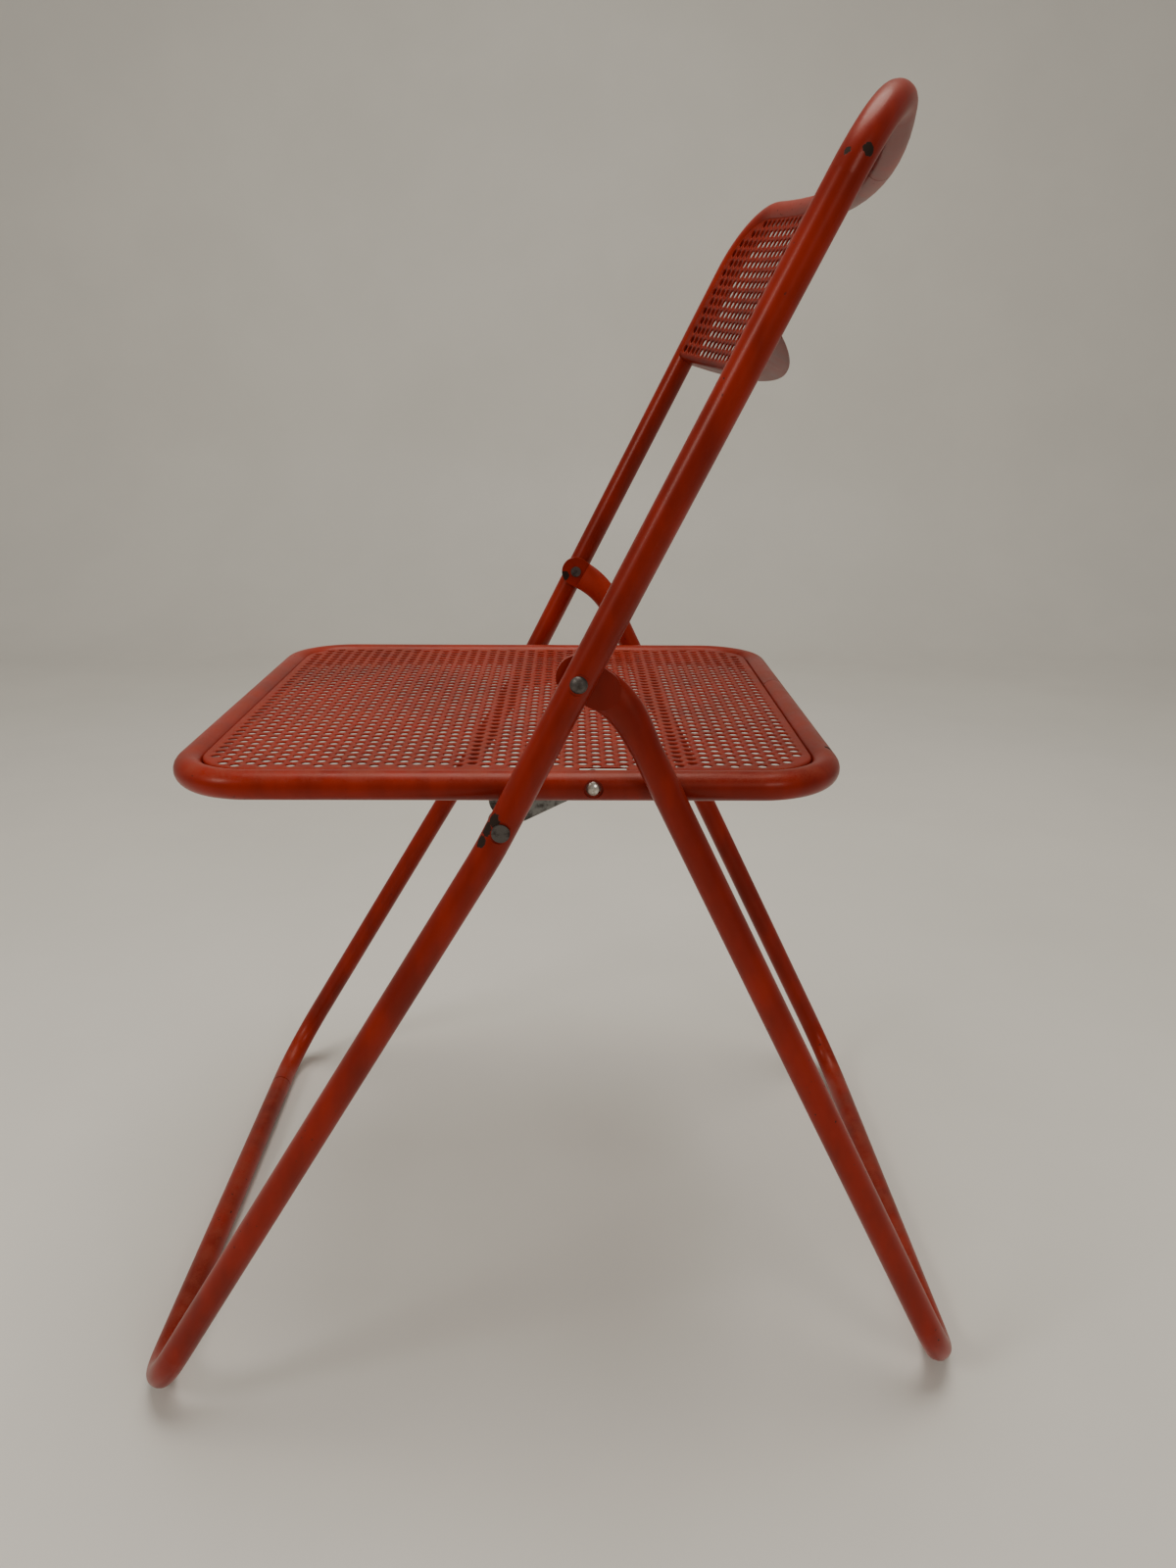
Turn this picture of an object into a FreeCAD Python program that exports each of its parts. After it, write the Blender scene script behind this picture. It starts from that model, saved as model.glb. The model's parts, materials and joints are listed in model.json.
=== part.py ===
import FreeCAD, Part
import math
import os

# Folding chair of bent steel tube with perforated sheet seat and back panel.
# Millimetres. X points to the back of the chair, Y to the sitter's right, Z up.
# The origin is on the floor, in the middle between the two floor bars.
# Left means the -Y side.

# ---- driving dimensions -------------------------------------------------------------------

tube_diameter = 18.0
tube_wall = 1.5

# Main frame: one loop of two front legs, two uprights, a floor bar and a top bar.
frame_width = 472.4          # over the outsides of the uprights
foot_spread = 544.8          # front floor bar to rear floor bar, centre to centre
front_leg_lean = 31.0        # degrees from vertical
upright_lean = 27.1          # degrees from vertical
bend_height = 402.0          # where front leg and upright meet
bend_radius = 300.0
upright_length = 440.5       # bend to top bar
top_bar_bow = 35.7           # how far the middle of the top bar lies behind the uprights
top_corner_radius = 52.0
floor_corner_radius = 50.0
frame_seam_top = -75.0       # Y of the saw cut between the two frame tubes, in the top bar
frame_seam_floor = 160.0     # Y of the saw cut in the floor bar
seam_gap = 0.8
spigot_length = 36.0

# Rear leg frame: a U that hangs on the uprights by its two crushed ends.
leg_pivot_along = 111.0      # bend to leg pivot, along the upright
leg_joggle = 15.5            # pivot to the line of the straight leg
leg_joggle_turn = 33.3       # degrees between crushed end and straight leg
leg_joggle_radius = 60.0
leg_corner_radius = 50.0
leg_side_gap = 1.4           # upright to leg tube
leg_tip_thickness = 3.2
leg_tip_width = 25.0
leg_tip_length = 14.0        # flat stretch below the pivot
leg_crush_length = 60.0      # pivot to the first round section

# Seat: a closed tube loop round a flanged perforated sheet.
seat_height = 439.0          # top of the seat tube
seat_ahead = 291.6           # seat pivot to front bar
seat_behind = 102.2          # seat pivot to rear bar
seat_corner_radius = 45.0
seat_rail_gap = 0.5          # leg tube to seat tube
seat_seam = 52.0             # Y of the saw cut in the rear bar
sheet_thickness = 1.0
seat_sheet_drop = 2.0        # sheet below the top of the tube
seat_notch_gap = 0.9         # notch over each link, beyond the link rivet's clinched end
seat_notch_ahead = 8.0
seat_notch_behind = 20.0

# Back panel: a bowed perforated sheet under the top bar, with a lip along its lower edge.
back_panel_height = 121.0
back_panel_ahead = 5.8       # middle of the sheet to the middle of the tubes
back_panel_gap = 0.2         # sheet to tubes
back_panel_lip = 15.0
back_panel_lip_radius = 4.0

# Pivots, rivets, washers and links.
hole_clearance = 0.1         # a rivet in the wall that holds it
running_clearance = 0.05     # radial, where one piece turns on another
face_gap = 0.3               # between faces that slide past each other
leg_rivet_diameter = 6.0
leg_rivet_head_diameter = 9.7
leg_rivet_head_height = 2.6
leg_washer_diameter = 16.0
rivet_end_diameter = 9.0
rivet_end_thickness = 1.4
frame_rivet_diameter = 5.5
frame_rivet_head_diameter = 10.4
frame_rivet_head_thickness = 1.6
frame_washer_diameter = 17.0
frame_washer_thickness = 0.9
spacer_diameter = 7.6
press_depth = 0.8            # flat pressed into the upright under each rivet head
press_margin = 1.3
stud_diameter = 7.0
stud_head_diameter = 10.0
stud_head_thickness = 0.8
stud_washer_diameter = 11.0
stud_washer_thickness = 1.0
link_pin_ahead = 42.9        # seat pivot to link pivot, along the rail
link_pin_diameter = 5.0
link_pin_head_diameter = 8.6
link_pin_head_height = 1.9
link_dimple_depth = 2.2
link_dimple_margin = 1.4
link_thickness = 2.5
link_stud_gap = 0.5          # inner end of the seat stud to the link
link_frame_radius = 10.5
link_seat_radius = 5.4
link_belly_radius = 4.0
link_belly_along = 7.0       # frame rivet to the lower corner of the link, along the link
link_belly_drop = 11.6

# ---- derived places -----------------------------------------------------------------------

tube_r = tube_diameter / 2
bore_r = tube_r - tube_wall

frame_y = frame_width / 2 - tube_r
leg_y = frame_y - tube_diameter - leg_side_gap
rail_y = leg_y - tube_diameter - seat_rail_gap
flange_y = rail_y - tube_r
stud_end_y = flange_y - face_gap - stud_washer_thickness - stud_head_thickness
link_outer_y = stud_end_y - link_stud_gap
link_inner_y = link_outer_y - link_thickness

SIDES = {"left": -1, "right": 1}
Y_AXIS = FreeCAD.Vector(0, 1, 0)


def vec(x, y, z):
    return FreeCAD.Vector(x, y, z)


def leaning(degrees):
    """Unit vector in the XZ plane that leans back from vertical."""
    angle = math.radians(degrees)
    return vec(math.sin(angle), 0, math.cos(angle))


def turned_back(direction):
    """The direction in the XZ plane a quarter turn rearwards and down from this one."""
    return vec(direction.z, 0, -direction.x)


def at_side(point, y):
    return vec(point.x, y, point.z)


def at_height(start, direction, z):
    """Point on a line in the XZ plane at height z."""
    return start + direction * ((z - start.z) / direction.z)


front_foot = vec(-foot_spread / 2, 0, tube_r)
rear_foot = vec(foot_spread / 2, 0, tube_r)
bend = at_height(front_foot, leaning(front_leg_lean), bend_height)
upright = leaning(upright_lean)
behind = turned_back(upright)
leg_pivot = bend + upright * leg_pivot_along

# The straight rear leg passes behind its pivot at the joggle distance.
to_pivot = leg_pivot - rear_foot
leg_lean = math.degrees(math.atan2(to_pivot.x, to_pivot.z) + math.asin(leg_joggle / to_pivot.Length))
leg_line = leaning(leg_lean)
tip_line = leaning(leg_lean - leg_joggle_turn)
leg_knee = leg_pivot - tip_line * (leg_joggle / math.sin(math.radians(leg_joggle_turn)))

rail_z = seat_height - tube_r
seat_pivot = at_height(rear_foot, leg_line, rail_z)
link_pin = seat_pivot - vec(link_pin_ahead, 0, 0)
seat_front_x = seat_pivot.x - seat_ahead
seat_rear_x = seat_pivot.x + seat_behind

# The seat rail rests just above the spacer on the frame rivet.
spacer_r = spacer_diameter / 2
frame_pin = at_height(bend, upright, rail_z - tube_r - face_gap - spacer_r)

# The top bar is an arc tangent to both top corners.
top_bar_slope = 2 * math.atan(top_bar_bow / (frame_y + top_corner_radius))
top_bar_radius = (frame_y - top_corner_radius * math.cos(top_bar_slope)) / math.sin(top_bar_slope)
top_bar_apex = bend + upright * upright_length + behind * (frame_y * math.tan(top_bar_slope))
top_corner = bend + upright * upright_length


# ---- shape helpers ------------------------------------------------------------------------

def filleted_path(points, radii):
    """Wire through the points, with a tangent arc of the given radius at each inner point."""
    edges = []
    last = points[0]
    for before, corner, after, radius in zip(points, points[1:], points[2:], radii):
        inward = (before - corner).normalize()
        outward = (after - corner).normalize()
        half_angle = inward.getAngle(outward) / 2
        cut_back = radius / math.tan(half_angle)
        start = corner + inward * cut_back
        end = corner + outward * cut_back
        bisector = (inward + outward).normalize()
        middle = corner + bisector * (radius / math.sin(half_angle) - radius)
        if (start - last).Length > 1e-4:
            edges.append(Part.LineSegment(last, start).toShape())
            arc_start = start
        else:
            arc_start = last
        edges.append(Part.Arc(arc_start, middle, end).toShape())
        last = end
    edges.append(Part.LineSegment(last, points[-1]).toShape())
    return Part.Wire(edges)


def swept_rod(path, radius):
    """Round rod along a wire that starts with a straight edge."""
    start = path.Edges[0].valueAt(path.Edges[0].FirstParameter)
    along = path.Edges[0].tangentAt(path.Edges[0].FirstParameter)
    section = Part.Wire(Part.Circle(start, along, radius).toShape())
    return path.makePipeShell([section], True, False)


def cross_pin(point, side, y_from, y_to, radius):
    """Cylinder along Y at a point of the XZ plane, between two distances from the middle."""
    low = min(side * y_from, side * y_to)
    return Part.makeCylinder(radius, abs(y_to - y_from), at_side(point, low), Y_AXIS)


def cross_ring(point, side, y_from, y_to, radius, bore):
    return cross_pin(point, side, y_from, y_to, radius).cut(cross_pin(point, side, y_from, y_to, bore))


def cross_dome(point, side, y_base, radius, height):
    """Domed rivet head that stands outwards from its base."""
    ball_r = (radius ** 2 + height ** 2) / (2 * height)
    ball = Part.makeSphere(ball_r, at_side(point, side * (y_base + height - ball_r)))
    return ball.common(cross_pin(point, side, y_base, y_base + height, radius))


def pressed_tube(path, presses, bores):
    """Tube along a path. Presses push its wall in and bores go through it.

    A press is (point, side, y of the new face, radius). A bore is (point, side, y, radius),
    where y is the distance of the tube's centre from the middle of the chair.
    """
    outside = swept_rod(path, tube_r)
    inside = swept_rod(path, bore_r)
    for point, side, face_y, radius in presses:
        outside = outside.cut(cross_pin(point, side, face_y, face_y + tube_r, radius))
        inside = inside.cut(cross_pin(point, side, face_y - tube_wall, face_y + tube_r, radius + tube_wall))
    tube = outside.cut(inside)
    for point, side, y, radius in bores:
        tube = tube.cut(cross_pin(point, side, y - tube_diameter, y + tube_diameter, radius))
    return tube


def belt_face(circles, y):
    """Face at distance y that a belt round the circles would enclose.

    The circles are (x, z, radius), listed clockwise as seen from the +Y side.
    """
    count = len(circles)
    angles = []
    for i in range(count):
        x1, z1, r1 = circles[i]
        x2, z2, r2 = circles[(i + 1) % count]
        heading = math.atan2(z2 - z1, x2 - x1)
        angles.append(heading - math.acos((r1 - r2) / math.hypot(x2 - x1, z2 - z1)))

    def rim(circle, angle):
        x, z, radius = circle
        return vec(x + radius * math.cos(angle), y, z + radius * math.sin(angle))

    edges = []
    for i in range(count):
        following = circles[(i + 1) % count]
        angle_in = angles[i]
        angle_out = angles[(i + 1) % count]
        while angle_out < angle_in:
            angle_out += 2 * math.pi
        edges.append(Part.LineSegment(rim(circles[i], angle_in), rim(following, angle_in)).toShape())
        middle = rim(following, (angle_in + angle_out) / 2)
        edges.append(Part.Arc(rim(following, angle_in), middle, rim(following, angle_out)).toShape())
    return Part.Face(Part.Wire(Part.__sortEdges__(edges)))


def rounded_box(x_low, x_high, half_width, z_low, z_high, radius):
    box = Part.makeBox(x_high - x_low, 2 * half_width, z_high - z_low, vec(x_low, -half_width, z_low))
    upright_edges = [edge for edge in box.Edges if abs(edge.tangentAt(edge.FirstParameter).z) > 0.9]
    return box.makeFillet(radius, upright_edges)


# ---- main frame ---------------------------------------------------------------------------

def frame_path():
    """The whole loop, from one side of the floor seam round to the other."""
    right_floor = at_side(front_foot, frame_y)
    left_floor = at_side(front_foot, -frame_y)
    points = [
        at_side(front_foot, frame_seam_floor - seam_gap / 2),
        left_floor,
        at_side(bend, -frame_y),
        at_side(top_corner, -frame_y),
        top_bar_apex,
        at_side(top_corner, frame_y),
        at_side(bend, frame_y),
        right_floor,
        at_side(front_foot, frame_seam_floor + seam_gap / 2),
    ]
    radii = [
        floor_corner_radius,
        bend_radius,
        top_corner_radius,
        top_bar_radius,
        top_corner_radius,
        bend_radius,
        floor_corner_radius,
    ]
    return filleted_path(points, radii)


def frame_tubes():
    """Left and right frame tube: the loop, sawn through in the top bar."""
    seat_of_head = frame_y + tube_r - press_depth
    presses = []
    bores = []
    for side in SIDES.values():
        presses.append((leg_pivot, side, seat_of_head, leg_rivet_head_diameter / 2 + press_margin))
        presses.append((frame_pin, side, seat_of_head, frame_rivet_head_diameter / 2 + press_margin))
        bores.append((leg_pivot, side, frame_y, leg_rivet_diameter / 2 + hole_clearance))
        bores.append((frame_pin, side, frame_y, frame_rivet_diameter / 2 + hole_clearance))
    loop = pressed_tube(frame_path(), presses, bores)
    saw_size = 4 * tube_diameter
    corner = top_bar_apex - vec(saw_size / 2, 0, saw_size / 2)
    saw = Part.makeBox(saw_size, seam_gap, saw_size, at_side(corner, frame_seam_top - seam_gap / 2))
    left, right = sorted(loop.cut(saw).Solids, key=lambda solid: solid.CenterOfMass.y)
    return left, right


def top_spigot():
    """Round plug inside the top bar, bridging the saw cut."""
    rod = swept_rod(frame_path(), bore_r)
    size = 4 * tube_diameter
    corner = top_bar_apex - vec(size / 2, 0, size / 2)
    keep = Part.makeBox(size, spigot_length, size, at_side(corner, frame_seam_top - spigot_length / 2))
    return rod.common(keep)


def floor_spigot():
    return cross_pin(
        front_foot, 1, frame_seam_floor - spigot_length / 2, frame_seam_floor + spigot_length / 2, bore_r
    )


def back_panel():
    """Sheet bent round an axis parallel to the uprights, with a rounded lip along its bottom.

    It lies against the front of the tubes' inner sides, ahead of their centrelines.
    """
    half = sheet_thickness / 2
    middle = bend + upright * upright_length + behind * (top_bar_bow - back_panel_ahead)
    tube_reach = math.sqrt(tube_r ** 2 - (back_panel_ahead - half) ** 2) + back_panel_gap
    top_s = -tube_reach
    bottom_s = top_s - back_panel_height

    def place(s, back):
        return middle + upright * s + behind * back

    # The section lies in the middle plane: up the front face, down the back face, round to the lip.
    outer_turn = back_panel_lip_radius
    inner_turn = back_panel_lip_radius - sheet_thickness
    turn_s = bottom_s + outer_turn
    turn_back = outer_turn - half
    diagonal = math.sqrt(0.5)
    front_low = place(turn_s, -half)
    front_top = place(top_s, -half)
    back_top = place(top_s, half)
    back_low = place(turn_s, half)
    inner_mid = place(turn_s - inner_turn * diagonal, turn_back - inner_turn * diagonal)
    lip_upper_in = place(bottom_s + sheet_thickness, turn_back)
    lip_upper_out = place(bottom_s + sheet_thickness, back_panel_lip)
    lip_lower_out = place(bottom_s, back_panel_lip)
    lip_lower_in = place(bottom_s, turn_back)
    outer_mid = place(turn_s - outer_turn * diagonal, turn_back - outer_turn * diagonal)
    edges = [
        Part.LineSegment(front_low, front_top).toShape(),
        Part.LineSegment(front_top, back_top).toShape(),
        Part.LineSegment(back_top, back_low).toShape(),
        Part.Arc(back_low, inner_mid, lip_upper_in).toShape(),
        Part.LineSegment(lip_upper_in, lip_upper_out).toShape(),
        Part.LineSegment(lip_upper_out, lip_lower_out).toShape(),
        Part.LineSegment(lip_lower_out, lip_lower_in).toShape(),
        Part.Arc(lip_lower_in, outer_mid, front_low).toShape(),
    ]
    section = Part.Face(Part.Wire(edges))
    hub = middle - behind * top_bar_radius
    half_width = frame_y - tube_reach
    half_angle = math.degrees(math.asin((half_width + tube_diameter) / top_bar_radius))
    section.rotate(hub, upright, -half_angle)
    bent = section.revolve(hub, upright, 2 * half_angle)

    # Outline seen from the front: straight sides and round upper corners inside the tube's.
    reach = 8 * tube_diameter
    corner_r = top_corner_radius - tube_reach
    blank = Part.makeBox(reach, 2 * half_width, back_panel_height + back_panel_lip)
    blank.translate(vec(-reach / 2, -half_width, -back_panel_lip))
    upper_edges = []
    for edge in blank.Edges:
        along_x = abs(edge.tangentAt(edge.FirstParameter).x) > 0.9
        if along_x and edge.CenterOfMass.z > 0:
            upper_edges.append(edge)
    blank = blank.makeFillet(corner_r, upper_edges)
    blank.rotate(vec(0, 0, 0), Y_AXIS, upright_lean)
    blank.translate(middle + upright * bottom_s)
    return bent.common(blank).cut(swept_rod(frame_path(), tube_r + back_panel_gap / 2))


def leg_rivet(side):
    """Rivet through upright, washer and crushed leg end, hollow at its inner end."""
    seat_of_head = frame_y + tube_r - press_depth
    tip_inner = leg_y + tube_r - leg_tip_thickness
    clinch_y = tip_inner - face_gap
    end_y = clinch_y - rivet_end_thickness
    head = cross_dome(leg_pivot, side, seat_of_head, leg_rivet_head_diameter / 2, leg_rivet_head_height)
    shank = cross_pin(leg_pivot, side, end_y, seat_of_head, leg_rivet_diameter / 2)
    clinch = cross_pin(leg_pivot, side, end_y, clinch_y, rivet_end_diameter / 2)
    hollow = cross_pin(leg_pivot, side, end_y, clinch_y, leg_rivet_diameter / 4)
    return head.fuse(shank).fuse(clinch).cut(hollow)


def leg_washer(side):
    return cross_ring(
        leg_pivot,
        side,
        leg_y + tube_r + face_gap,
        frame_y - tube_r,
        leg_washer_diameter / 2,
        leg_rivet_diameter / 2 + hole_clearance,
    )


def frame_rivet(side):
    """Long rivet through upright, washer and spacer that carries the link."""
    seat_of_head = frame_y + tube_r - press_depth
    clinch_y = link_inner_y - face_gap
    end_y = clinch_y - rivet_end_thickness
    head_y = seat_of_head + frame_rivet_head_thickness
    head = cross_pin(frame_pin, side, seat_of_head, head_y, frame_rivet_head_diameter / 2)
    shank = cross_pin(frame_pin, side, end_y, seat_of_head, frame_rivet_diameter / 2)
    clinch = cross_pin(frame_pin, side, end_y, clinch_y, rivet_end_diameter / 2)
    return head.fuse(shank).fuse(clinch)


def frame_washer(side):
    return cross_ring(
        frame_pin,
        side,
        frame_y - tube_r - frame_washer_thickness,
        frame_y - tube_r,
        frame_washer_diameter / 2,
        frame_rivet_diameter / 2 + hole_clearance,
    )


def link_spacer(side):
    return cross_ring(
        frame_pin,
        side,
        link_outer_y + face_gap,
        frame_y - tube_r - frame_washer_thickness,
        spacer_r,
        frame_rivet_diameter / 2 + hole_clearance,
    )


# ---- rear leg frame -----------------------------------------------------------------------

def leg_station(distance):
    """Point and heading on the leg's centreline, at a distance from the pivot down the leg."""
    turn = math.radians(leg_joggle_turn)
    straight = (leg_knee - leg_pivot).Length - leg_joggle_radius * math.tan(turn / 2)
    arc_length = leg_joggle_radius * turn
    if distance <= straight:
        return leg_pivot - tip_line * distance, tip_line * -1
    hub = leg_pivot - tip_line * straight - turned_back(tip_line) * leg_joggle_radius
    part_turn = min(distance - straight, arc_length) / leg_joggle_radius
    heading = leaning(leg_lean - leg_joggle_turn + math.degrees(part_turn))
    point = hub + turned_back(heading) * leg_joggle_radius
    rest = max(0.0, distance - straight - arc_length)
    return point - heading * rest, heading * -1


def crush_section(side, distance):
    """Cross-section of the tube where it goes from round to flat, flush on its outer side."""
    share = distance / leg_crush_length
    point, heading = leg_station(distance)
    across = turned_back(heading)
    half_wide = leg_tip_width / 2 + (tube_r - leg_tip_width / 2) * share ** 1.3
    half_thick = leg_tip_thickness / 2 + (tube_r - leg_tip_thickness / 2) * math.sin(share * math.pi / 2)
    centre = at_side(point, side * (leg_y + tube_r - half_thick))
    if half_wide - half_thick < 1e-6:
        circle = Part.Circle(centre, heading, tube_r)
        circle.XAxis = across
        return Part.Wire(circle.toShape())
    ellipse = Part.Ellipse(centre + across * half_wide, centre + Y_AXIS * half_thick, centre)
    return Part.Wire(ellipse.toShape())


def crushed_end(side):
    """Flat tip round the pivot and the transition to the round tube."""
    stations = [0.12, 0.3, 0.5, 0.75, 1.0]
    sections = [crush_section(side, share * leg_crush_length) for share in stations]
    transition = Part.makeLoft(sections, True, False)
    tip_end, _ = leg_station(leg_tip_length)
    outline = [
        (leg_pivot.x, leg_pivot.z, leg_tip_width / 2),
        (tip_end.x, tip_end.z, leg_tip_width / 2 - 1.0),
    ]
    outer_y = side * (leg_y + tube_r)
    tip = belt_face(outline, outer_y).extrude(vec(0, -side * leg_tip_thickness, 0))
    return tip.fuse(transition)


def rear_leg_tube():
    knees = {}
    for name, side in SIDES.items():
        point, _ = leg_station(leg_crush_length)
        knees[name] = at_side(point, side * leg_y)
    path = filleted_path(
        [knees["left"], at_side(rear_foot, -leg_y), at_side(rear_foot, leg_y), knees["right"]],
        [leg_corner_radius, leg_corner_radius],
    )
    outside = swept_rod(path, tube_r)
    for side in SIDES.values():
        outside = outside.fuse(crushed_end(side))
    tube = outside.cut(swept_rod(path, bore_r))
    pivot_bore = leg_rivet_diameter / 2 + running_clearance
    for side in SIDES.values():
        tube = tube.cut(cross_pin(leg_pivot, side, leg_y, frame_y, pivot_bore))
        tube = tube.cut(cross_pin(seat_pivot, side, leg_y - tube_diameter, leg_y, stud_diameter / 2))
    return tube.removeSplitter()


def seat_stud(side):
    """Stud held in the inner wall of the leg, on which the seat turns."""
    root_y = leg_y - bore_r + tube_wall
    washer_y = flange_y - face_gap - stud_washer_thickness
    end_y = washer_y - stud_head_thickness
    shank = cross_pin(seat_pivot, side, end_y, root_y, stud_diameter / 2)
    head = cross_pin(seat_pivot, side, end_y, washer_y, stud_head_diameter / 2)
    return shank.fuse(head)


def stud_washer(side):
    return cross_ring(
        seat_pivot,
        side,
        flange_y - face_gap - stud_washer_thickness,
        flange_y - face_gap,
        stud_washer_diameter / 2,
        stud_diameter / 2 + hole_clearance,
    )


# ---- seat ---------------------------------------------------------------------------------

def seat_tube():
    """Closed loop with one saw cut in the rear bar."""
    rear_left = vec(seat_rear_x, -rail_y, rail_z)
    front_left = vec(seat_front_x, -rail_y, rail_z)
    front_right = vec(seat_front_x, rail_y, rail_z)
    rear_right = vec(seat_rear_x, rail_y, rail_z)
    path = filleted_path(
        [
            vec(seat_rear_x, seat_seam - seam_gap / 2, rail_z),
            rear_left,
            front_left,
            front_right,
            rear_right,
            vec(seat_rear_x, seat_seam + seam_gap / 2, rail_z),
        ],
        [seat_corner_radius] * 4,
    )
    presses = []
    bores = []
    for side in SIDES.values():
        dimple_face = rail_y + tube_r - link_dimple_depth
        presses.append((link_pin, side, dimple_face, link_pin_head_diameter / 2 + link_dimple_margin))
        bores.append((link_pin, side, rail_y, link_pin_diameter / 2 + hole_clearance))
        bores.append((seat_pivot, side, rail_y, stud_diameter / 2 + running_clearance))
    return pressed_tube(path, presses, bores)


def seat_spigot():
    rear_bar = vec(seat_rear_x, 0, rail_z)
    return cross_pin(rear_bar, 1, seat_seam - spigot_length / 2, seat_seam + spigot_length / 2, bore_r)


def seat_panel():
    """Flat sheet with a flange all round that meets the inner side of the tube."""
    top_z = seat_height - seat_sheet_drop
    front = seat_front_x + tube_r
    rear = seat_rear_x - tube_r
    corner_r = seat_corner_radius - tube_r
    outer = rounded_box(front, rear, flange_y, rail_z, top_z, corner_r)
    inner = rounded_box(
        front + sheet_thickness,
        rear - sheet_thickness,
        flange_y - sheet_thickness,
        rail_z - sheet_thickness,
        top_z - sheet_thickness,
        corner_r - sheet_thickness,
    )
    panel = outer.cut(inner)
    pivot_notch = stud_washer_diameter / 2 + 2 * face_gap
    for side in SIDES.values():
        reach = flange_y - link_inner_y + rivet_end_thickness + seat_notch_gap
        notch_length = seat_notch_ahead + seat_notch_behind
        low_y = min(side * flange_y, side * (flange_y - reach))
        notch = Part.makeBox(notch_length, reach, tube_diameter)
        notch.translate(vec(link_pin.x - seat_notch_ahead, low_y, rail_z - tube_r))
        panel = panel.cut(notch)
        low_y = min(side * flange_y, side * (flange_y - sheet_thickness))
        gap = Part.makeBox(2 * pivot_notch, sheet_thickness, tube_diameter)
        gap.translate(vec(seat_pivot.x - pivot_notch, low_y, top_z - sheet_thickness - tube_diameter))
        panel = panel.cut(gap)
    return panel


def link_rivet(side):
    """Domed rivet in a dimple of the seat rail. It stops before the link."""
    dimple_face = rail_y + tube_r - link_dimple_depth
    end_y = flange_y - sheet_thickness + face_gap
    head = cross_dome(link_pin, side, dimple_face, link_pin_head_diameter / 2, link_pin_head_height)
    shank = cross_pin(link_pin, side, end_y, dimple_face, link_pin_diameter / 2)
    return head.fuse(shank)


# ---- links --------------------------------------------------------------------------------

def link(side):
    """Flat link from the frame rivet to the seat rail, deeper below its frame end."""
    along = (link_pin - frame_pin).normalize()
    belly = frame_pin + along * link_belly_along + turned_back(along) * link_belly_drop
    outline = [
        (frame_pin.x, frame_pin.z, link_frame_radius),
        (belly.x, belly.z, link_belly_radius),
        (link_pin.x, link_pin.z, link_seat_radius),
    ]
    plate = belt_face(outline, side * link_outer_y).extrude(vec(0, -side * link_thickness, 0))
    plate = plate.cut(
        cross_pin(frame_pin, side, link_inner_y, link_outer_y, frame_rivet_diameter / 2 + running_clearance)
    )
    return plate.cut(cross_pin(link_pin, side, link_inner_y, link_outer_y, link_pin_diameter / 2))


def link_rivet_end(side):
    """Clinched end of the link rivet, in the link's own hole."""
    stem = cross_pin(link_pin, side, link_inner_y, link_outer_y, link_pin_diameter / 2)
    clinch_r = link_seat_radius - face_gap
    clinch = cross_pin(link_pin, side, link_inner_y - rivet_end_thickness, link_inner_y, clinch_r)
    return stem.fuse(clinch)


# ---- all pieces ---------------------------------------------------------------------------

def pieces():
    left_tube, right_tube = frame_tubes()
    made = {
        "frame_tube_left": left_tube,
        "frame_tube_right": right_tube,
        "frame_top_spigot": top_spigot(),
        "frame_floor_spigot": floor_spigot(),
        "back_panel": back_panel(),
        "rear_leg_tube": rear_leg_tube(),
        "seat_tube": seat_tube(),
        "seat_spigot": seat_spigot(),
        "seat_panel": seat_panel(),
    }
    per_side = {
        "leg_rivet": leg_rivet,
        "leg_washer": leg_washer,
        "frame_rivet": frame_rivet,
        "frame_washer": frame_washer,
        "link_spacer": link_spacer,
        "seat_stud": seat_stud,
        "stud_washer": stud_washer,
        "link_rivet": link_rivet,
        "seat_link": link,
        "link_rivet_end": link_rivet_end,
    }
    for name, build in per_side.items():
        for side_name, side in SIDES.items():
            made[name + "_" + side_name] = build(side)
    return made


os.makedirs("parts", exist_ok=True)
for node, shape in pieces().items():
    shape.exportStep("parts/" + node + ".step")
    box = shape.BoundBox
    print(
        node,
        "solids", len(shape.Solids),
        "valid", shape.isValid(),
        "volume %.1f" % shape.Volume,
        "x %.1f %.1f y %.1f %.1f z %.1f %.1f" % (box.XMin, box.XMax, box.YMin, box.YMax, box.ZMin, box.ZMax),
    )
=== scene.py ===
import json
import math

import bmesh
import bpy
from bpy.props import FloatProperty, FloatVectorProperty, IntProperty, PointerProperty
from bpy.types import Operator, Panel, PropertyGroup
from mathutils import Matrix, Vector


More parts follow.
